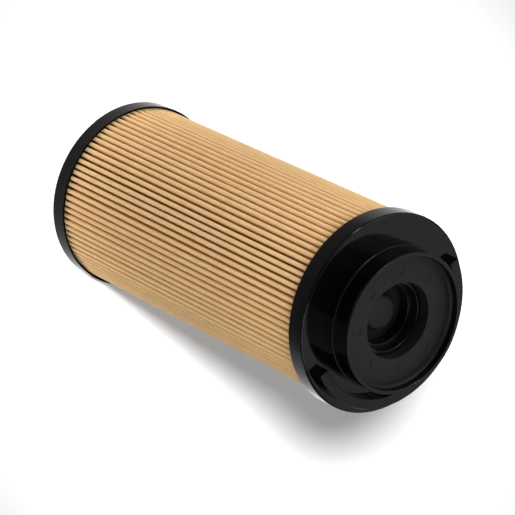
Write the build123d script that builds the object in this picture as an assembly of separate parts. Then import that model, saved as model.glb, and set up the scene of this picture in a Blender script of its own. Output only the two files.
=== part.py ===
"""Return-line filter element: a pleated paper cylinder bonded between two moulded end caps.

The element stands on its lower cap. The origin is the centre of that cap's bottom face, +Z runs
up the axis and +Y points to the middle of the half ring on the upper cap. All sizes are in mm.

Oil passes inwards through the pleats into the core and leaves through the outlet in the lower
cap. When the paper is clogged, the poppet in the upper cap opens downwards and lets oil pass by.
"""
from build123d import *
from math import acos, degrees, pi
import os

# Overall
element_length = 205.0        # between the outer faces of the two caps
cap_floor = 2.5               # plate of either cap under the paper
bond_depth = 2.5              # adhesive between a plate and the paper

# Pleated paper
media_radius = 47.4           # over the pleat tips
pleat_depth = 11.2
pleat_count = 87
paper_thickness = 0.7
tip_radius = 1.2              # outside of a fold at the pleat tips
fold_radius = 0.85            # outside of a fold at the core

# Moulded core that holds the pleats against the pressure
core_gap = 0.2                # paper to core
core_wall = 1.6
core_columns = 12
core_rows = 10
core_bar = 4.0                # width of the bars between windows
core_ring = 4.5               # height of the rings between windows
core_end_band = 12.0          # closed band at each end of the core

# Skirts and locating collars of the caps
lower_skirt_wall = 1.0
lower_skirt_gap = 0.2
lower_skirt_height = 9.6
upper_skirt_wall = 1.8
upper_skirt_gap = 0.8
upper_skirt_height = 9.9
cap_edge_round = 1.0          # outer edge of either cap
skirt_edge_round = 0.3
locator_wall = 1.6            # collar that stands inside the core
locator_height = 6.5
fit_gap = 0.1                 # between rigid pieces that are pushed together
bond_gap = 0.05               # between the adhesive and the walls around it

# Neck, dish and half ring of the upper cap
neck_wall = 2.6
neck_height = 15.0
collar_step = 0.7             # the collar at the foot of the neck stands this far out
collar_height = 5.1
collar_round = 0.35
rim_wall = 2.0
rim_round = 0.4
dish_depth = 4.5
dish_floor = 2.3
dish_corner_round = 1.6
half_ring_inset = 3.6         # from the cap's edge
half_ring_width = 5.25
half_ring_height = 4.6
half_ring_sweep = 180.0
half_ring_round = 0.35
rib_count = 8
rib_wall = 1.8
ejector_mark_circle = 24.8
ejector_mark_radius = 2.0
ejector_mark_depth = 0.2
ejector_mark_count = 8
ejector_mark_start = 19.0

# Bypass valve in the middle of the upper cap
socket_radius = 19.0
socket_wall = 2.2
socket_depth = 6.0            # below the cap's outer face
valve_rim_drop = 5.4          # from the dish floor down to the valve body's rim
valve_rim_width = 2.0
valve_step_drop = 10.0        # from the dish floor down to the inner step
throat_taper = 0.7
seat_radius = 14.9
body_flange_step = 1.2        # the body's flange stands out past the socket
body_flange_height = 2.0
snap_height = 0.3
snap_half_width = 0.5
snap_drop = 2.4               # from the body's rim down to the snap bead
body_seal_width = 1.5
body_seal_room = 0.5          # gland is this much wider than its seal
body_gland_rise = 3.0         # from the socket's end up to the gland
seal_gap = 0.02               # round a seal drawn at its squeezed size
poppet_seal_thickness = 1.4
poppet_seal_width = 3.4
seat_land = 1.9               # width of the sealing face beside the throat
recess_gap = 0.6              # around the poppet's rim
crown_radius = 9.15
crown_drop = 12.2             # from the dish floor down to the top of the crown
crown_wall = 1.5
crown_round = 2.4
brim_thickness = 1.6
hub_rise = 1.0                # step that centres the seal on the poppet
stem_radius = 3.0
stem_gap = 0.08               # running clearance in the guide
stem_tail = 3.0               # past the guide when the valve is shut
spring_wire = 1.8
spring_radius = 5.5           # to the middle of the wire
spring_turns = 6.5
spring_length = 25.8          # when the valve is shut
cage_ring_height = 2.0
cage_legs = 4
cage_leg_width = 6.0
cage_leg_wall = 2.0
cage_leg_inset = 0.4          # legs stand this far inside the ring's and the base's edges
cage_base = 2.5
guide_height = 1.5            # boss below the base
guide_wall = 2.0
hook_wall = 1.2
hook_width = 7.0
hook_nose = 1.1
spring_pocket_gap = 0.3       # rim round the spring's foot
spring_pocket_wall = 1.2
spring_pocket_height = 1.5
base_port_radius = 2.6
base_port_count = 8

# Outlet in the lower cap
outlet_radius = 20.3
outlet_lead_in = 1.0
outlet_land = 4.2             # bore wall below the seal
outlet_seal_width = 2.6
outlet_gland_room = 1.2       # gland is this much taller than its seal
outlet_wall = 2.6
retainer_height = 3.8

# Radii and heights that follow
media_inner_radius = media_radius - pleat_depth
core_radius = media_inner_radius - core_gap
core_inner_radius = core_radius - core_wall
locator_radius = core_inner_radius - fit_gap
cavity_radius = locator_radius - locator_wall
lower_skirt_radius = media_radius + lower_skirt_gap
lower_cap_radius = lower_skirt_radius + lower_skirt_wall
upper_skirt_radius = media_radius + upper_skirt_gap
upper_cap_radius = upper_skirt_radius + upper_skirt_wall

face_z = element_length                      # outer face of the upper cap
plate_z = face_z - cap_floor                 # its underside
media_bottom_z = cap_floor + bond_depth
media_top_z = plate_z - bond_depth

neck_radius = cavity_radius + neck_wall
rim_z = face_z + neck_height
dish_z = rim_z - dish_depth
half_ring_outer = upper_cap_radius - half_ring_inset
half_ring_inner = half_ring_outer - half_ring_width

socket_outer = socket_radius + socket_wall
socket_end_z = face_z - socket_depth
body_radius = socket_radius - fit_gap
body_rim_z = dish_z - valve_rim_drop
body_step_z = dish_z - valve_step_drop
body_end_z = socket_end_z - body_flange_height
body_flange_radius = socket_outer + body_flange_step
throat_radius = body_radius - valve_rim_width
seat_z = socket_end_z
brim_radius = seat_radius + seat_land
recess_radius = brim_radius + recess_gap
crown_z = dish_z - crown_drop
brim_z = seat_z - poppet_seal_thickness
brim_end_z = brim_z - brim_thickness
crown_inner_z = crown_z - crown_wall
spring_seat_z = crown_inner_z - spring_length
guide_z = spring_seat_z - cage_base - guide_height
stem_end_z = guide_z - stem_tail
guide_radius = stem_radius + stem_gap

outlet_gland_radius = outlet_radius + outlet_seal_width
outlet_collar_radius = outlet_gland_radius + outlet_wall
retainer_z = outlet_land + outlet_seal_width + outlet_gland_room
outlet_top_z = retainer_z + retainer_height


def turned(*corners, sweep=360.0):
    """Revolve a closed outline; each corner is (radius, height) or (radius, height, round)."""
    points = [corner[:2] for corner in corners]
    rounds = [corner[2] if len(corner) > 2 else 0 for corner in corners]
    outline = Plane.XZ * FilletPolyline(*points, radius=rounds, close=True)
    return revolve(make_face(outline), Axis.Z, sweep)


def ring(inner, outer, low, high):
    """Plain ring between two radii and two heights."""
    return turned((inner, low), (outer, low), (outer, high), (inner, high))


def around(shape, count, start=0.0):
    """Copies of a shape at even angles about the axis."""
    return [Rot(0, 0, start + 360.0 * k / count) * shape for k in range(count)]


def bar(inner, outer, width, low, high):
    """Radial bar along +X between two radii and two heights."""
    middle = ((inner + outer) / 2, 0, (low + high) / 2)
    return Pos(*middle) * Box(outer - inner, width, high - low)


def at_angle(radius, angle):
    return Vector(radius, 0).rotate(Axis.Z, angle)


def bend(start, apex, end, rounded):
    """One fold of the paper: an arc on its outside, a sharp crease on its inside."""
    return [ThreePointArc(start, apex, end)] if rounded else [Line(start, apex), Line(apex, end)]


def folded_line(depth):
    """Closed line that follows the folds, this deep in the paper from its outward face."""
    half_pitch = 180.0 / pleat_count
    tip = at_angle(media_radius - tip_radius, 0)
    fold = at_angle(media_inner_radius + fold_radius, half_pitch)
    tip_bend = tip_radius - depth
    fold_bend = fold_radius - paper_thickness + depth
    lean = degrees(acos((tip_bend + fold_bend) / (fold - tip).length))
    across = (fold - tip).normalized().rotate(Axis.Z, -lean)

    tip_end = tip + across * tip_bend
    fold_start = fold - across * fold_bend
    tip_apex = at_angle(tip.length + tip_bend, 0)
    fold_apex = at_angle(fold.length - fold_bend, half_pitch)
    tip_start = Vector(tip_end.X, -tip_end.Y)
    fold_end = Vector(fold_start.X, -fold_start.Y).rotate(Axis.Z, 2 * half_pitch)
    next_tip = tip_start.rotate(Axis.Z, 2 * half_pitch)

    pleat = bend(tip_start, tip_apex, tip_end, rounded=depth == 0)
    pleat += [Line(tip_end, fold_start)]
    pleat += bend(fold_start, fold_apex, fold_end, rounded=depth > 0)
    pleat += [Line(fold_end, next_tip)]
    return Wire([(Rot(0, 0, 2 * half_pitch * k) * piece).edge()
                 for k in range(pleat_count) for piece in pleat])


def pleated_media():
    """The paper, folded into pleats and joined into a ring: one sheet of even thickness."""
    section = Face(folded_line(0), [folded_line(paper_thickness)])
    return extrude(Pos(0, 0, media_bottom_z) * section, media_top_z - media_bottom_z)


def support_core():
    """Moulded tube of bars and rings, with square windows between them."""
    low, high = cap_floor, plate_z
    row_pitch = (high - low - 2 * core_end_band + core_ring) / core_rows
    window_height = row_pitch - core_ring
    window_width = 2 * pi * core_radius / core_columns - core_bar
    cutters = []
    for row in range(core_rows):
        foot = low + core_end_band + row * row_pitch
        window = bar(core_inner_radius - core_wall, core_radius + core_wall, window_width,
                     foot, foot + window_height)
        cutters += around(window, core_columns)
    return ring(core_inner_radius, core_radius, low, high) - cutters


def bond(low, high, skirt_radius):
    """Adhesive cast in a cap's trough, which holds the paper's end and the core."""
    return ring(core_radius + bond_gap, skirt_radius - bond_gap, low, high)


def radial_ribs(inner, outer, low, high):
    """Ribs between two walls of a cap; each end is buried in the wall that it meets."""
    return around(bar(inner, outer, rib_wall, low, high), rib_count, 180.0 / rib_count)


def lower_end_cap():
    """Plate with its skirt, the core's locating collar and the outlet."""
    shell = turned(
        (outlet_radius + outlet_lead_in, 0),
        (lower_cap_radius, 0, cap_edge_round),
        (lower_cap_radius, lower_skirt_height, skirt_edge_round),
        (lower_skirt_radius, lower_skirt_height, skirt_edge_round),
        (lower_skirt_radius, cap_floor),
        (locator_radius, cap_floor),
        (locator_radius, cap_floor + locator_height),
        (cavity_radius, cap_floor + locator_height),
        (cavity_radius, cap_floor),
        (outlet_collar_radius, cap_floor),
        (outlet_collar_radius, outlet_top_z),
        (outlet_gland_radius, outlet_top_z),
        (outlet_gland_radius, outlet_land),
        (outlet_radius, outlet_land),
        (outlet_radius, outlet_lead_in),
    )
    ribs = radial_ribs(outlet_collar_radius - outlet_wall / 2, locator_radius - locator_wall / 2,
                       cap_floor / 2, cap_floor + locator_height / 2)
    return shell + ribs


def outlet_seal():
    """O-ring in the outlet's gland, which grips the standpipe of the housing."""
    middle = (outlet_radius + outlet_seal_width / 2, outlet_land + outlet_seal_width / 2)
    section = Plane.XZ * Pos(*middle) * Circle(outlet_seal_width / 2 - seal_gap)
    return revolve(section, Axis.Z)


def outlet_retainer():
    """Ring pressed in above the O-ring; its bore lines up with the outlet."""
    return turned(
        (outlet_radius, retainer_z),
        (outlet_gland_radius - fit_gap, retainer_z),
        (outlet_gland_radius - fit_gap, outlet_top_z),
        (outlet_radius + outlet_lead_in, outlet_top_z),
        (outlet_radius, outlet_top_z - outlet_lead_in),
    )


def ejector_marks():
    """Shallow round witness marks in the floor of the dish."""
    place = Pos(ejector_mark_circle, 0, dish_z)
    mark = place * Cylinder(ejector_mark_radius, 2 * ejector_mark_depth)
    return around(mark, ejector_mark_count, ejector_mark_start)


def upper_end_cap():
    """Plate with its skirt, and the neck whose dish leads down to the bypass valve."""
    rim_inner = neck_radius - rim_wall
    bead_z = body_rim_z - snap_drop
    shell = turned(
        (upper_skirt_radius, face_z - upper_skirt_height, skirt_edge_round),
        (upper_cap_radius, face_z - upper_skirt_height, skirt_edge_round),
        (upper_cap_radius, face_z, cap_edge_round),
        (neck_radius + collar_step, face_z),
        (neck_radius + collar_step, face_z + collar_height, collar_round),
        (neck_radius, face_z + collar_height),
        (neck_radius, rim_z, rim_round),
        (rim_inner, rim_z, rim_round),
        (rim_inner, dish_z, dish_corner_round),
        (socket_radius, dish_z, rim_round),
        (socket_radius, bead_z + snap_half_width + snap_height),
        (socket_radius + snap_height, bead_z),
        (socket_radius, bead_z - snap_half_width - snap_height),
        (socket_radius, socket_end_z),
        (socket_outer, socket_end_z),
        (socket_outer, dish_z - dish_floor),
        (cavity_radius, dish_z - dish_floor),
        (cavity_radius, plate_z - locator_height),
        (locator_radius, plate_z - locator_height),
        (locator_radius, plate_z),
        (upper_skirt_radius, plate_z),
    )
    half_ring = turned(
        (half_ring_inner, face_z - cap_floor / 2),
        (half_ring_outer, face_z - cap_floor / 2),
        (half_ring_outer, face_z + half_ring_height, half_ring_round),
        (half_ring_inner, face_z + half_ring_height, half_ring_round),
        sweep=half_ring_sweep,
    )
    ribs = radial_ribs(socket_outer - socket_wall / 2, (cavity_radius + neck_radius) / 2,
                       face_z, dish_z - dish_floor / 2)
    return shell + half_ring + ribs - ejector_marks()


def bypass_body():
    """Cartridge ring in the socket: stepped throat, sealing face and a flange for the cage."""
    bead_z = body_rim_z - snap_drop
    gland_z = socket_end_z + body_gland_rise
    gland_top_z = gland_z + body_seal_width + body_seal_room
    gland_radius = socket_radius - body_seal_width
    return turned(
        (throat_radius, body_rim_z, rim_round),
        (body_radius, body_rim_z, rim_round),
        (body_radius, bead_z + snap_half_width),
        (body_radius + snap_height, bead_z),
        (body_radius, bead_z - snap_half_width),
        (body_radius, gland_top_z),
        (gland_radius, gland_top_z),
        (gland_radius, gland_z),
        (body_radius, gland_z),
        (body_radius, socket_end_z),
        (body_flange_radius, socket_end_z),
        (body_flange_radius, body_end_z),
        (recess_radius, body_end_z),
        (recess_radius, seat_z),
        (seat_radius, seat_z),
        (seat_radius, body_step_z, rim_round),
        (throat_radius - throat_taper, body_step_z),
    )


def bypass_body_seal():
    """O-ring between the cartridge and its socket, drawn as squeezed by the gland."""
    middle_z = socket_end_z + body_gland_rise + (body_seal_width + body_seal_room) / 2
    middle = (socket_radius - body_seal_width / 2, middle_z)
    section = Plane.XZ * Pos(*middle) * Circle(body_seal_width / 2 - seal_gap)
    return revolve(section, Axis.Z)


def bypass_cage():
    """Cage clipped over the cartridge's flange; its base guides the stem and backs the spring."""
    ring_z = body_end_z - cage_ring_height
    base_z = spring_seat_z - cage_base
    leg_inner = recess_radius + cage_leg_inset
    leg_outer = leg_inner + cage_leg_wall
    base_radius = leg_outer + cage_leg_inset
    top = ring(recess_radius, body_flange_radius, ring_z, body_end_z)

    leg_low = base_z + cage_base / 2
    leg_high = ring_z + cage_ring_height / 2
    leg_sweep = degrees(cage_leg_width / leg_outer)
    leg = turned((leg_inner, leg_low), (leg_outer, leg_low), (leg_outer, leg_high),
                 (leg_inner, leg_high), sweep=leg_sweep)

    hook_inner = body_flange_radius + fit_gap
    nose_inner = socket_outer + fit_gap
    nose_z = socket_end_z + fit_gap
    foot_z = ring_z + cage_ring_height / 4
    hook_sweep = degrees(hook_width / hook_inner)
    hook = turned(
        (body_flange_radius - hook_wall, foot_z),
        (hook_inner + hook_wall, foot_z),
        (hook_inner + hook_wall, nose_z),
        (hook_inner, nose_z + hook_nose),
        (nose_inner, nose_z + hook_nose / 2),
        (nose_inner, nose_z),
        (hook_inner, nose_z),
        (hook_inner, foot_z + cage_ring_height / 2),
        (body_flange_radius - hook_wall, foot_z + cage_ring_height / 2),
        sweep=hook_sweep,
    )

    pocket_inner = spring_radius + spring_wire / 2 + spring_pocket_gap
    base = turned(
        (guide_radius, guide_z),
        (guide_radius + guide_wall, guide_z),
        (guide_radius + guide_wall, base_z),
        (base_radius, base_z),
        (base_radius, spring_seat_z),
        (pocket_inner + spring_pocket_wall, spring_seat_z),
        (pocket_inner + spring_pocket_wall, spring_seat_z + spring_pocket_height),
        (pocket_inner, spring_seat_z + spring_pocket_height),
        (pocket_inner, spring_seat_z),
        (guide_radius, spring_seat_z),
    )
    port_circle = (pocket_inner + spring_pocket_wall + recess_radius) / 2
    port = Pos(port_circle, 0, base_z + cage_base / 2) * Cylinder(base_port_radius, 2 * cage_base)
    legs = around(leg, cage_legs, -leg_sweep / 2)
    hooks = around(hook, cage_legs, 180.0 / cage_legs - hook_sweep / 2)
    return top + legs + hooks + base - around(port, base_port_count)


def bypass_poppet():
    """Hat-shaped valve with a rim for its seal and a stem that slides in the cage."""
    crown_inner = crown_radius - crown_wall
    hub_radius = brim_radius - poppet_seal_width
    return turned(
        (0, stem_end_z),
        (stem_radius, stem_end_z, rim_round),
        (stem_radius, crown_inner_z),
        (crown_inner, crown_inner_z),
        (crown_inner, brim_end_z),
        (brim_radius, brim_end_z, rim_round),
        (brim_radius, brim_z),
        (hub_radius, brim_z),
        (hub_radius, brim_z + hub_rise),
        (crown_radius, brim_z + hub_rise),
        (crown_radius, crown_z, crown_round),
        (0, crown_z),
    )


def poppet_seal():
    """Flat rubber ring on the poppet's rim, shut against the cartridge's sealing face."""
    hub_radius = brim_radius - poppet_seal_width
    return ring(hub_radius + bond_gap, brim_radius, brim_z, seat_z)


def bypass_spring():
    """Coil spring inside the hat, its ends ground flat."""
    pitch = (spring_length - spring_wire) / spring_turns
    start = (0, 0, spring_seat_z - spring_wire / 2)
    path = Helix(pitch, spring_length + spring_wire, spring_radius, center=start)
    section = Plane(origin=path @ 0, z_dir=path % 0) * Circle(spring_wire / 2)
    coil = sweep(section, path=path, is_frenet=True)
    return coil & ring(spring_radius - spring_wire, spring_radius + spring_wire,
                       spring_seat_z, crown_inner_z)


pieces = {
    "lower_end_cap": lower_end_cap(),
    "outlet_seal": outlet_seal(),
    "outlet_retainer": outlet_retainer(),
    "lower_bond": bond(cap_floor, media_bottom_z, lower_skirt_radius),
    "pleated_media": pleated_media(),
    "support_core": support_core(),
    "upper_bond": bond(media_top_z, plate_z, upper_skirt_radius),
    "upper_end_cap": upper_end_cap(),
    "bypass_body": bypass_body(),
    "bypass_body_seal": bypass_body_seal(),
    "bypass_cage": bypass_cage(),
    "bypass_spring": bypass_spring(),
    "bypass_poppet": bypass_poppet(),
    "poppet_seal": poppet_seal(),
}

os.makedirs("parts", exist_ok=True)
for node, shape in pieces.items():
    export_step(shape, f"parts/{node}.step")
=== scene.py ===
import bpy
import math
import random
from mathutils import Matrix, Vector


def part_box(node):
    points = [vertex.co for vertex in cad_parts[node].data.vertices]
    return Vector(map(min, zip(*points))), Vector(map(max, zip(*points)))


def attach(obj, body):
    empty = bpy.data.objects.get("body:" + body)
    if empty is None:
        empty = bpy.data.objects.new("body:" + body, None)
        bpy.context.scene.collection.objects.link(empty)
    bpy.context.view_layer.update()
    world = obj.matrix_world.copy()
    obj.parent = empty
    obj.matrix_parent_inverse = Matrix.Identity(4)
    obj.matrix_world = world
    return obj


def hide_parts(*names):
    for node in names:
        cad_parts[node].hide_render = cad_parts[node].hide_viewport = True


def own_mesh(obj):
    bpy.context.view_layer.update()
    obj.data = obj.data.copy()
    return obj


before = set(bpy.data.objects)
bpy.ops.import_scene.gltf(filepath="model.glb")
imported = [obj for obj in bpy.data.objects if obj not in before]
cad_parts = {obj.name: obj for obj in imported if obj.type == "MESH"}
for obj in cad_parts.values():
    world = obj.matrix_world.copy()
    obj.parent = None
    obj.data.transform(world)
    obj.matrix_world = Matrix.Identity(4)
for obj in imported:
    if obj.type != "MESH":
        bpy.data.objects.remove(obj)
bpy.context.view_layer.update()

# A return-line filter element stands on its lower cap. The imported caps, core, valve and seals are
# shown as they are, with the finishes of the real ones. The pleated paper is a mesh of its own, and
# the valve's spring gets its own copy of its mesh.
MM = 0.001

# Pleated paper
PLEATS = 87
MEDIA_RADIUS = 47.4 * MM
PLEAT_DEPTH = 11.2 * MM
PAPER = 0.7 * MM              # thickness of the sheet
TIP_RADIUS = 1.2 * MM         # outside of a fold at the pleat tips
FOLD_RADIUS = 0.85 * MM       # outside of a fold at the core
TIP_POINTS = 11
FOLD_POINTS = 6
ROWS = 26
PLEAT_SEED = 87
LOWER_RIM_Z = 9.6 * MM        # edges of the caps' skirts
UPPER_RIM_Z = 195.1 * MM
RIM_SHADE_REACH = 3.5 * MM              # how far the painted shade reaches up the folds past a rim

# Where the neck starts on the upper cap's outer face, and the dish in the neck
FLANGE_Z = 205 * MM
ABOVE_FLANGE = 0.8 * MM
DISH_RADIUS = 33.25 * MM

# Camera
VIEW_AZIMUTH = 32.0
VIEW_ELEVATION = 46.45
VIEW_ROLL = 115.84
VIEW_DISTANCE = 1.4408
VIEW_TARGET = Vector((1.65, 1.06, 110.05)) * MM
SENSOR = 36.0                 # millimetres wide, as LENS is long
LENS = 202.7

# Pool of light on the floor: a spot, and a faint glow of the paint under it
POOL_CENTRE = (-0.070, 0.130, 0.0)
POOL_REACH = 0.318
SPOT_AZIMUTH = 23.4
SPOT_ELEVATION = 45.1
SPOT_DISTANCE = 2.0
SPOT_WATTS = 300.0
SPOT_RADIUS = 0.13            # softens the shadow's edge
SPOT_BLEND = 0.12
GLOW_CENTRE = (-0.062, 0.118, 0.0)
GLOW_RADIUS = 0.270
GLOW_EDGE = 0.045
POOL_GLOW = 0.29
OUTER_GLOW = 0.04
FLOOR_HALF = 4.0

# Finishes
NYLON_IOR = 1.53


def linear(code, alpha=1.0):
    """A colour written as sRGB hex, as the linear values that shaders take."""
    shares = [int(code[k:k + 2], 16) / 255 for k in (1, 3, 5)]
    return [c / 12.92 if c <= 0.04045 else ((c + 0.055) / 1.055) ** 2.4 for c in shares] + [alpha]


def add(tree, kind, sockets=None, **settings):
    """Add a node: settings are its properties, sockets its inputs, each a value or a link."""
    node = tree.nodes.new(kind)
    for name, value in settings.items():
        setattr(node, name, value)
    for name, value in (sockets or {}).items():
        if isinstance(value, bpy.types.NodeSocket):
            tree.links.new(value, node.inputs[name])
        else:
            node.inputs[name].default_value = value
    return node


def new_material(name):
    """An empty material, its node tree and its geometry node."""
    made = bpy.data.materials.new(name)
    made.use_nodes = True
    made.node_tree.nodes.clear()
    geometry = add(made.node_tree, "ShaderNodeNewGeometry")
    return made, made.node_tree, geometry


def finish_material(tree, shader):
    """Send a shader to the material's surface."""
    add(tree, "ShaderNodeOutputMaterial", {"Surface": shader.outputs["BSDF"]})


def moulded_gloss_nylon(name, shine):
    """Black glass-filled nylon from a mould polished on its walls and spark-eroded on the neck's
    upward faces: deep wet-looking walls and flange, a fine even grey grain on rim and dish."""
    made, tree, geometry = new_material(name)
    place = geometry.outputs["Position"]
    up = add(tree, "ShaderNodeSeparateXYZ", {"Vector": geometry.outputs["Normal"]}).outputs["Z"]
    height = add(tree, "ShaderNodeSeparateXYZ", {"Vector": place}).outputs["Z"]
    facing_up = add(tree, "ShaderNodeMapRange", {
        "Value": up, "From Min": 0.55, "From Max": 0.85}).outputs["Result"]
    on_neck = add(tree, "ShaderNodeMath", {
        0: height, 1: FLANGE_Z + ABOVE_FLANGE}, operation="GREATER_THAN").outputs[0]
    level = add(tree, "ShaderNodeVectorMath", {0: place, 1: (1.0, 1.0, 0.0)}, operation="MULTIPLY")
    radius = add(tree, "ShaderNodeVectorMath", {0: level.outputs[0]}, operation="LENGTH")
    in_dish = add(tree, "ShaderNodeMath", {
        0: radius.outputs["Value"], 1: DISH_RADIUS}, operation="LESS_THAN").outputs[0]
    dull = add(tree, "ShaderNodeMath", {0: facing_up, 1: in_dish}, operation="MAXIMUM").outputs[0]
    eroded = add(tree, "ShaderNodeMath", {0: dull, 1: on_neck}, operation="MULTIPLY").outputs[0]

    # Flow of the melt, about 12 mm across: the gloss comes and goes a little
    flow = add(tree, "ShaderNodeTexNoise", {
        "Vector": place, "Scale": 1 / (12 * MM), "Detail": 3.0, "Roughness": 0.6})
    gloss = add(tree, "ShaderNodeMix", {0: flow.outputs["Fac"], 2: 0.05, 3: 0.12})
    grain = add(tree, "ShaderNodeTexNoise", {
        "Vector": place, "Scale": 1 / (0.35 * MM), "Detail": 2.0, "Roughness": 0.7})
    matte = add(tree, "ShaderNodeMix", {0: grain.outputs["Fac"], 2: 0.42, 3: 0.62})
    roughness = add(tree, "ShaderNodeMix", {
        0: eroded, 2: gloss.outputs[0], 3: matte.outputs[0]})

    # Glass fibres just under the skin, drawn a little coarse: 0.5 mm flecks barely lighter
    fibres = add(tree, "ShaderNodeTexNoise", {
        "Vector": place, "Scale": 1 / (0.5 * MM), "Detail": 4.0, "Roughness": 0.8})
    skin = add(tree, "ShaderNodeMix", {
        0: fibres.outputs["Fac"], 6: linear("#060606"), 7: linear("#0e0d0d")}, data_type="RGBA")
    chalky = add(tree, "ShaderNodeMix", {
        0: fibres.outputs["Fac"], 6: linear("#1a1919"), 7: linear("#262424")}, data_type="RGBA")
    colour = add(tree, "ShaderNodeMix", {
        0: eroded, 6: skin.outputs[2], 7: chalky.outputs[2]}, data_type="RGBA")

    # The eroded grain is 0.35 mm pits; the polished walls keep only a slow orange peel
    peel = add(tree, "ShaderNodeTexNoise", {
        "Vector": place, "Scale": 1 / (3.5 * MM), "Detail": 1.0})
    smooth = add(tree, "ShaderNodeBump", {
        "Height": peel.outputs["Fac"], "Strength": 0.05, "Distance": 0.2 * MM})
    pits = add(tree, "ShaderNodeMath", {0: grain.outputs["Fac"], 1: eroded}, operation="MULTIPLY")
    pitted = add(tree, "ShaderNodeBump", {
        "Height": pits.outputs[0], "Strength": 0.35, "Distance": 0.05 * MM,
        "Normal": smooth.outputs["Normal"]})
    shader = add(tree, "ShaderNodeBsdfPrincipled", {
        "Base Color": colour.outputs[2], "Roughness": roughness.outputs[0], "IOR": NYLON_IOR,
        "Specular IOR Level": shine, "Normal": pitted.outputs["Normal"]})
    finish_material(tree, shader)
    return made


def moulded_satin_nylon(name, dark, light, rough):
    """Plain moulded nylon from a ground mould: an even satin with a faint cloudiness."""
    made, tree, geometry = new_material(name)
    place = geometry.outputs["Position"]
    cloud = add(tree, "ShaderNodeTexNoise", {
        "Vector": place, "Scale": 1 / (6 * MM), "Detail": 4.0, "Roughness": 0.65})
    grain = add(tree, "ShaderNodeTexNoise", {
        "Vector": place, "Scale": 1 / (0.3 * MM), "Detail": 2.0})
    bump = add(tree, "ShaderNodeBump", {
        "Height": grain.outputs["Fac"], "Strength": 0.2, "Distance": 0.03 * MM})
    colour = add(tree, "ShaderNodeMix", {
        0: cloud.outputs["Fac"], 6: linear(dark), 7: linear(light)}, data_type="RGBA")
    satin = add(tree, "ShaderNodeMix", {
        0: cloud.outputs["Fac"], 2: rough - 0.06, 3: rough + 0.08})
    shader = add(tree, "ShaderNodeBsdfPrincipled", {
        "Base Color": colour.outputs[2], "Roughness": satin.outputs[0],
        "IOR": NYLON_IOR, "Specular IOR Level": 0.3, "Normal": bump.outputs["Normal"]})
    finish_material(tree, shader)
    return made


def cured_filter_paper():
    """Cellulose paper stiffened with cured resin: a dry tan felt of fibres, with painted light
    paling the pleat tips and painted shade browning the walls down into the folds."""
    made, tree, geometry = new_material("cured_filter_paper")
    place = geometry.outputs["Position"]
    parts = add(tree, "ShaderNodeSeparateXYZ", {"Vector": place}).outputs
    flat = add(tree, "ShaderNodeCombineXYZ", {"X": parts["X"], "Y": parts["Y"]})
    radius = add(tree, "ShaderNodeVectorMath", {0: flat.outputs[0]}, operation="LENGTH")
    depth = add(tree, "ShaderNodeMapRange", {
        "Value": radius.outputs["Value"], "From Min": MEDIA_RADIUS - 3.0 * MM,
        "From Max": MEDIA_RADIUS - 0.3 * MM})

    # Fibres lie along the web, so their pattern is drawn out five times along the pleats
    along = add(tree, "ShaderNodeMapping", {"Vector": place, "Scale": (1.0, 1.0, 0.2)})
    fibres = add(tree, "ShaderNodeTexNoise", {
        "Vector": along.outputs[0], "Scale": 1 / (0.28 * MM), "Detail": 5.0, "Roughness": 0.75})
    cloudy = add(tree, "ShaderNodeTexNoise", {
        "Vector": place, "Scale": 1 / (9 * MM), "Detail": 4.0, "Roughness": 0.6})
    # Painted light and shade: a darker, browner colour down the walls in the folds, a paler one at
    # the pleat tips
    wall = add(tree, "ShaderNodeMix", {
        0: fibres.outputs["Fac"], 6: linear("#c4843c"), 7: linear("#e2a45c")}, data_type="RGBA")
    tip = add(tree, "ShaderNodeMix", {
        0: fibres.outputs["Fac"], 6: linear("#e0b880"), 7: linear("#f4d6a6")}, data_type="RGBA")
    tip_light_fold_shade = add(tree, "ShaderNodeMix", {
        0: depth.outputs["Result"], 6: wall.outputs[2], 7: tip.outputs[2]}, data_type="RGBA")
    clouding = add(tree, "ShaderNodeMix", {
        0: cloudy.outputs["Fac"], 6: linear("#f0e4d2"), 7: linear("#ffffff")}, data_type="RGBA")
    warm = add(tree, "ShaderNodeMix", {
        0: 1.0, 6: tip_light_fold_shade.outputs[2], 7: clouding.outputs[2]},
        data_type="RGBA", blend_type="MULTIPLY")

    # Painted shade: the folds are darkened just past either cap's rim
    above = add(tree, "ShaderNodeMapRange", {
        "Value": parts["Z"], "From Min": LOWER_RIM_Z, "From Max": LOWER_RIM_Z + RIM_SHADE_REACH,
        "To Min": 1.0, "To Max": 0.0})
    below = add(tree, "ShaderNodeMapRange", {
        "Value": parts["Z"], "From Min": UPPER_RIM_Z - RIM_SHADE_REACH, "From Max": UPPER_RIM_Z})
    near_rim = add(tree, "ShaderNodeMath", {
        0: above.outputs["Result"], 1: below.outputs["Result"]}, operation="MAXIMUM")
    in_fold = add(tree, "ShaderNodeMapRange", {
        "Value": radius.outputs["Value"], "From Min": MEDIA_RADIUS - 1.6 * MM,
        "From Max": MEDIA_RADIUS - 0.5 * MM, "To Min": 1.0, "To Max": 0.0})
    rim_fold_shade_mask = add(tree, "ShaderNodeMath", {
        0: near_rim.outputs[0], 1: in_fold.outputs["Result"]}, operation="MULTIPLY")
    rim_fold_shaded = add(tree, "ShaderNodeMix", {
        0: rim_fold_shade_mask.outputs[0], 6: warm.outputs[2], 7: linear("#2b1a0e")}, data_type="RGBA")

    felt = add(tree, "ShaderNodeBump", {
        "Height": fibres.outputs["Fac"], "Strength": 0.5, "Distance": 0.06 * MM})
    shader = add(tree, "ShaderNodeBsdfPrincipled", {
        "Base Color": rim_fold_shaded.outputs[2], "Roughness": 0.86, "IOR": 1.45,
        "Specular IOR Level": 0.25, "Sheen Weight": 0.05, "Sheen Roughness": 0.6,
        "Normal": felt.outputs["Normal"]})
    finish_material(tree, shader)
    return made


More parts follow.
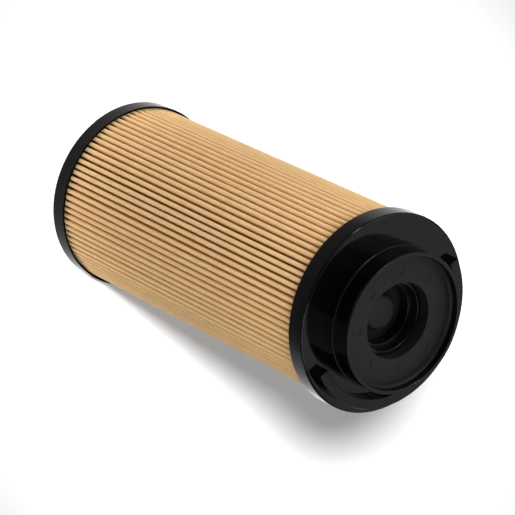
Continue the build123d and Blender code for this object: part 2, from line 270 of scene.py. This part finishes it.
def cast_adhesive():
    """Polyurethane poured into the cap: dark, smooth and a little shiny, with a slow ripple."""
    made, tree, geometry = new_material("cast_adhesive")
    ripple = add(tree, "ShaderNodeTexNoise", {
        "Vector": geometry.outputs["Position"], "Scale": 1 / (4 * MM), "Detail": 2.0})
    bump = add(tree, "ShaderNodeBump", {
        "Height": ripple.outputs["Fac"], "Strength": 0.4, "Distance": 0.4 * MM})
    colour = add(tree, "ShaderNodeMix", {
        0: ripple.outputs["Fac"], 6: linear("#15120f"), 7: linear("#241f1a")}, data_type="RGBA")
    shader = add(tree, "ShaderNodeBsdfPrincipled", {
        "Base Color": colour.outputs[2], "Roughness": 0.32, "IOR": 1.5,
        "Normal": bump.outputs["Normal"]})
    finish_material(tree, shader)
    return made


def nitrile_rubber():
    """Moulded nitrile: soft grey-black with a dull bloom in patches."""
    made, tree, geometry = new_material("nitrile_rubber")
    bloom = add(tree, "ShaderNodeTexNoise", {
        "Vector": geometry.outputs["Position"], "Scale": 1 / (2.5 * MM), "Detail": 4.0})
    colour = add(tree, "ShaderNodeMix", {
        0: bloom.outputs["Fac"], 6: linear("#141415"), 7: linear("#232324")}, data_type="RGBA")
    dullness = add(tree, "ShaderNodeMix", {0: bloom.outputs["Fac"], 2: 0.5, 3: 0.7})
    shader = add(tree, "ShaderNodeBsdfPrincipled", {
        "Base Color": colour.outputs[2], "Roughness": dullness.outputs[0], "IOR": 1.5})
    finish_material(tree, shader)
    return made


def drawn_spring_wire():
    """Spring steel drawn through a die: grey metal with fine lines along the wire."""
    made, tree, geometry = new_material("drawn_spring_wire")
    drawn = add(tree, "ShaderNodeMapping", {
        "Vector": geometry.outputs["Position"], "Scale": (0.3, 0.3, 6.0)})
    lines = add(tree, "ShaderNodeTexNoise", {
        "Vector": drawn.outputs[0], "Scale": 1 / (1.2 * MM), "Detail": 3.0})
    colour = add(tree, "ShaderNodeMix", {
        0: lines.outputs["Fac"], 6: linear("#8b8b8e"), 7: linear("#b4b4b6")}, data_type="RGBA")
    roughness = add(tree, "ShaderNodeMix", {0: lines.outputs["Fac"], 2: 0.25, 3: 0.42})
    shader = add(tree, "ShaderNodeBsdfPrincipled", {
        "Base Color": colour.outputs[2], "Metallic": 1.0, "Roughness": roughness.outputs[0]})
    finish_material(tree, shader)
    return made


def studio_floor_paint():
    """Matt white floor paint that glows faintly in a round pool, so that it stays pale."""
    made, tree, geometry = new_material("studio_floor_paint")
    away = add(tree, "ShaderNodeVectorMath", {
        0: geometry.outputs["Position"], 1: GLOW_CENTRE}, operation="DISTANCE")
    pool = add(tree, "ShaderNodeMapRange", {
        "Value": away.outputs["Value"], "From Min": GLOW_RADIUS,
        "From Max": GLOW_RADIUS + GLOW_EDGE, "To Min": POOL_GLOW, "To Max": OUTER_GLOW},
        interpolation_type="SMOOTHSTEP")
    shader = add(tree, "ShaderNodeBsdfPrincipled", {
        "Base Color": linear("#f0f0f0"), "Roughness": 0.9, "Specular IOR Level": 0.0,
        "Emission Color": linear("#ffffff"), "Emission Strength": pool.outputs["Result"]})
    finish_material(tree, shader)
    return made


def direction(azimuth, elevation):
    """Unit vector from the object; azimuth 0 is the side that faces -Y."""
    a, e = math.radians(azimuth), math.radians(elevation)
    return Vector((math.sin(a) * math.cos(e), -math.cos(a) * math.cos(e), math.sin(e)))


def tangent(tip, tip_bend, fold, fold_bend, side):
    """Angle of the outward normal of the wall that joins a tip's arc to a fold's arc."""
    across = fold - tip
    lean = math.acos((tip_bend + fold_bend) / across.length)
    return math.atan2(across.y, across.x) - side * lean


def spread(first, last, count):
    """Evenly spaced numbers, both ends included."""
    return [first + (last - first) * k / (count - 1) for k in range(count)]


def polar(radius, angle):
    """A point of the level plane."""
    return Vector((radius * math.cos(angle), radius * math.sin(angle)))


def pleat_row(tips, folds):
    """One level of the folded sheet, as pairs of points on its outward and inward faces.
    Each tip and fold is (centre, outside radius) and a fold follows the tip of its number."""
    pairs = []
    count = len(tips)
    for k in range(count):
        tip, bend = tips[k]
        before, after = folds[k - 1], folds[k]
        start = tangent(tip, bend, before[0], before[1] - PAPER, -1)
        end = tangent(tip, bend, after[0], after[1] - PAPER, 1)
        outward = math.atan2(tip.y, tip.x)
        start = outward + math.remainder(start - outward, 2 * math.pi)
        end = outward + math.remainder(end - outward, 2 * math.pi)
        for angle in spread(start, end, TIP_POINTS):
            pairs.append((tip + polar(bend, angle), tip + polar(bend - PAPER, angle)))
        fold, inner_bend = after
        following, next_bend = tips[(k + 1) % count]
        last = tangent(following, next_bend, fold, inner_bend - PAPER, -1)
        outward = math.atan2(fold.y, fold.x)
        first = outward + math.remainder(end - outward, 2 * math.pi)
        last = outward + math.remainder(last - outward, 2 * math.pi)
        for angle in spread(first, last, FOLD_POINTS):
            pairs.append((fold - polar(inner_bend - PAPER, angle), fold - polar(inner_bend, angle)))
    return pairs


def pleated_paper():
    """The folded sheet between the two beds of adhesive, with no pleat quite like the next.
    Tips differ a little in roundness, reach and spacing, and wander slowly along their length."""
    low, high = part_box("pleated_media")
    rng = random.Random(PLEAT_SEED)
    pitch = 2 * math.pi / PLEATS
    inner = MEDIA_RADIUS - PLEAT_DEPTH
    tip_facts = [{
        "bend": TIP_RADIUS * rng.uniform(0.93, 1.04),
        "reach": rng.uniform(0.0, 0.35) * MM,
        "shift": rng.gauss(0.0, 0.09) * MM,
        "wander": rng.uniform(0.04, 0.16) * MM,
        "wave": rng.uniform(90, 260) * MM,
        "phase": rng.uniform(0, 2 * math.pi),
    } for _ in range(PLEATS)]
    points, faces = [], []
    per_row = PLEATS * (TIP_POINTS + FOLD_POINTS)
    for z in spread(low.z, high.z, ROWS):
        held = math.sin(math.pi * (z - low.z) / (high.z - low.z))
        tips, folds = [], []
        for k, fact in enumerate(tip_facts):
            sway = fact["wander"] * held * math.sin(2 * math.pi * z / fact["wave"] + fact["phase"])
            angle = k * pitch + (fact["shift"] + sway) / MEDIA_RADIUS
            radius = MEDIA_RADIUS - fact["bend"] - fact["reach"]
            tips.append((polar(radius, angle), fact["bend"]))
            folds.append((polar(inner + FOLD_RADIUS, (k + 0.5) * pitch), FOLD_RADIUS))
        points += [(p.x, p.y, z) for pair in pleat_row(tips, folds) for p in pair]
    stride = 2 * per_row

    def corner(row, step, inward):
        return row * stride + 2 * (step % per_row) + inward

    for row in range(ROWS - 1):
        for step in range(per_row):
            faces.append((corner(row, step, 0), corner(row, step + 1, 0),
                          corner(row + 1, step + 1, 0), corner(row + 1, step, 0)))
            faces.append((corner(row, step, 1), corner(row + 1, step, 1),
                          corner(row + 1, step + 1, 1), corner(row, step + 1, 1)))
    for step in range(per_row):
        faces.append((corner(0, step, 0), corner(0, step, 1),
                      corner(0, step + 1, 1), corner(0, step + 1, 0)))
        top = ROWS - 1
        faces.append((corner(top, step, 0), corner(top, step + 1, 0),
                      corner(top, step + 1, 1), corner(top, step, 1)))
    mesh = bpy.data.meshes.new("pleated_paper")
    mesh.from_pydata(points, [], faces)
    mesh.shade_smooth()
    mesh.set_sharp_from_angle(angle=math.radians(50))
    paper = bpy.data.objects.new("pleated_paper", mesh)
    bpy.context.scene.collection.objects.link(paper)
    return paper


def dress(name, material):
    """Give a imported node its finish."""
    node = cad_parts[name]
    node.data.materials.clear()
    node.data.materials.append(material)


def receivers(name, objects):
    """A collection of the only things that a lamp lights."""
    group = bpy.data.collections.new(name)
    for piece in objects:
        group.objects.link(piece)
    return group


def softbox(name, only, azimuth, elevation, distance, side, watts):
    """A square soft light that faces the middle of the element and lights only some of it."""
    light = bpy.data.lights.new(name, "AREA")
    light.shape = "SQUARE"
    light.size = side
    light.energy = watts
    lamp = bpy.data.objects.new(name, light)
    away = direction(azimuth, elevation)
    lamp.location = Vector((0, 0, FLANGE_Z / 2)) + away * distance
    lamp.rotation_euler = away.to_track_quat("Z", "Y").to_euler()
    lamp.visible_camera = False
    bpy.context.scene.collection.objects.link(lamp)
    lamp.light_linking.receiver_collection = only


def pool_spot(only):
    """A spot near the camera that lights a pool of floor and throws the element's soft shadow."""
    light = bpy.data.lights.new("pool_spot", "SPOT")
    light.energy = SPOT_WATTS
    light.shadow_soft_size = SPOT_RADIUS
    seen_reach = POOL_REACH * math.sin(math.radians(SPOT_ELEVATION))
    light.spot_size = 2 * math.atan(seen_reach / SPOT_DISTANCE)
    light.spot_blend = SPOT_BLEND
    lamp = bpy.data.objects.new("pool_spot", light)
    away = direction(SPOT_AZIMUTH, SPOT_ELEVATION)
    lamp.location = Vector(POOL_CENTRE) + away * SPOT_DISTANCE
    lamp.rotation_euler = away.to_track_quat("Z", "Y").to_euler()
    bpy.context.scene.collection.objects.link(lamp)
    lamp.light_linking.receiver_collection = only


def studio_camera():
    """Looks down on the flange, rolled so that the element seems to lie on its side."""
    away = direction(VIEW_AZIMUTH, VIEW_ELEVATION)
    level = direction(VIEW_AZIMUTH + 90, 0)
    rise = away.cross(level)
    roll = math.radians(VIEW_ROLL)
    right = level * math.cos(roll) + rise * math.sin(roll)
    up = rise * math.cos(roll) - level * math.sin(roll)
    data = bpy.data.cameras.new("camera")
    data.lens = LENS
    data.sensor_width = SENSOR
    data.clip_end = 100.0
    camera = bpy.data.objects.new("camera", data)
    place = VIEW_TARGET + away * VIEW_DISTANCE
    axes = Matrix((right, up, away)).transposed().to_4x4()
    camera.matrix_world = Matrix.Translation(place) @ axes
    bpy.context.scene.collection.objects.link(camera)
    bpy.context.scene.camera = camera


def studio_floor():
    """A plain square floor just under the lower cap."""
    mesh = bpy.data.meshes.new("studio_floor")
    s = FLOOR_HALF
    mesh.from_pydata([(-s, -s, 0), (s, -s, 0), (s, s, 0), (-s, s, 0)], [], [(0, 1, 2, 3)])
    floor = bpy.data.objects.new("studio_floor", mesh)
    floor.location.z = -0.05 * MM
    bpy.context.scene.collection.objects.link(floor)
    mesh.materials.append(studio_floor_paint())
    return floor


def studio_air():
    """Dim surroundings: dark overhead, paler towards the horizon."""
    world = bpy.data.worlds.new("studio")
    world.use_nodes = True
    tree = world.node_tree
    tree.nodes.clear()
    where = add(tree, "ShaderNodeTexCoord")
    up = add(tree, "ShaderNodeSeparateXYZ", {"Vector": where.outputs["Generated"]}).outputs["Z"]
    lift = add(tree, "ShaderNodeMapRange", {"Value": up, "From Min": 0.0, "From Max": 0.45})
    glow = add(tree, "ShaderNodeMix", {
        0: lift.outputs["Result"], 6: linear("#a8a8a8"), 7: linear("#242424")}, data_type="RGBA")
    sky = add(tree, "ShaderNodeBackground", {"Color": glow.outputs[2], "Strength": 1.0})
    add(tree, "ShaderNodeOutputWorld", {"Surface": sky.outputs[0]})
    bpy.context.scene.world = world


def main():
    gloss = moulded_gloss_nylon("moulded_gloss_nylon", 0.27)
    # The lower cap takes a copy of the gloss nylon with weaker reflections: painted shade that dims
    # the lower cap
    shaded_gloss = moulded_gloss_nylon("lower_cap_nylon_painted_shade", 0.05)
    valve = moulded_satin_nylon("moulded_valve_nylon", "#080808", "#101010", 0.30)
    # The poppet's nylon is lighter than the valve's: partly a spark-eroded grain like the dish,
    # partly painted light against the shade deep in the bore
    eroded_and_lit_poppet = moulded_satin_nylon("eroded_poppet_nylon_painted_light", "#282727", "#333131", 0.55)
    core = moulded_satin_nylon("moulded_core_nylon", "#161617", "#262627", 0.5)
    finishes = {
        gloss: ["upper_end_cap"],
        shaded_gloss: ["lower_end_cap"],
        valve: ["bypass_body", "bypass_cage", "outlet_retainer"],
        eroded_and_lit_poppet: ["bypass_poppet"],
        core: ["support_core"],
        nitrile_rubber(): ["outlet_seal", "bypass_body_seal", "poppet_seal"],
        cast_adhesive(): ["upper_bond", "lower_bond"],
        drawn_spring_wire(): ["bypass_spring"],
    }
    for material, names in finishes.items():
        for name in names:
            dress(name, material)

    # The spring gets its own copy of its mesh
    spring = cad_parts["bypass_spring"]
    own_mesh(spring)

    paper = pleated_paper()
    paper.data.materials.append(cured_filter_paper())
    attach(paper, "element")
    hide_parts("pleated_media")

    # Paper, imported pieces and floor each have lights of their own, as the paper is bright beside
    # deep black caps
    floor_only = receivers("floor_only", [studio_floor()])
    paper_only = receivers("paper_only", [paper])
    packed_only = receivers("packed_only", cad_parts.values())
    studio_air()
    softbox("paper_key", paper_only, -40, 50, distance=0.6, side=0.5, watts=2.1)
    softbox("paper_top", paper_only, 36, 62, distance=0.6, side=0.5, watts=4.9)
    softbox("paper_side", paper_only, -75, 40, distance=0.8, side=0.6, watts=3.0)
    softbox("paper_fill", paper_only, 100, 50, distance=0.7, side=0.5, watts=0.5)
    softbox("cap_key", packed_only, -40, 50, distance=0.6, side=0.5, watts=0.5)
    softbox("cap_fill", packed_only, 100, 50, distance=0.7, side=0.5, watts=1.4)
    softbox("cap_side", packed_only, -75, 40, distance=0.8, side=0.6, watts=1.0)
    softbox("edge_glint", packed_only, -31, 27, distance=1.0, side=0.14, watts=1.4)
    softbox("flange_back", packed_only, -148, 46, distance=1.2, side=1.2, watts=2.9)
    pool_spot(floor_only)
    studio_camera()
    bpy.context.scene.view_settings.view_transform = "Standard"


main()
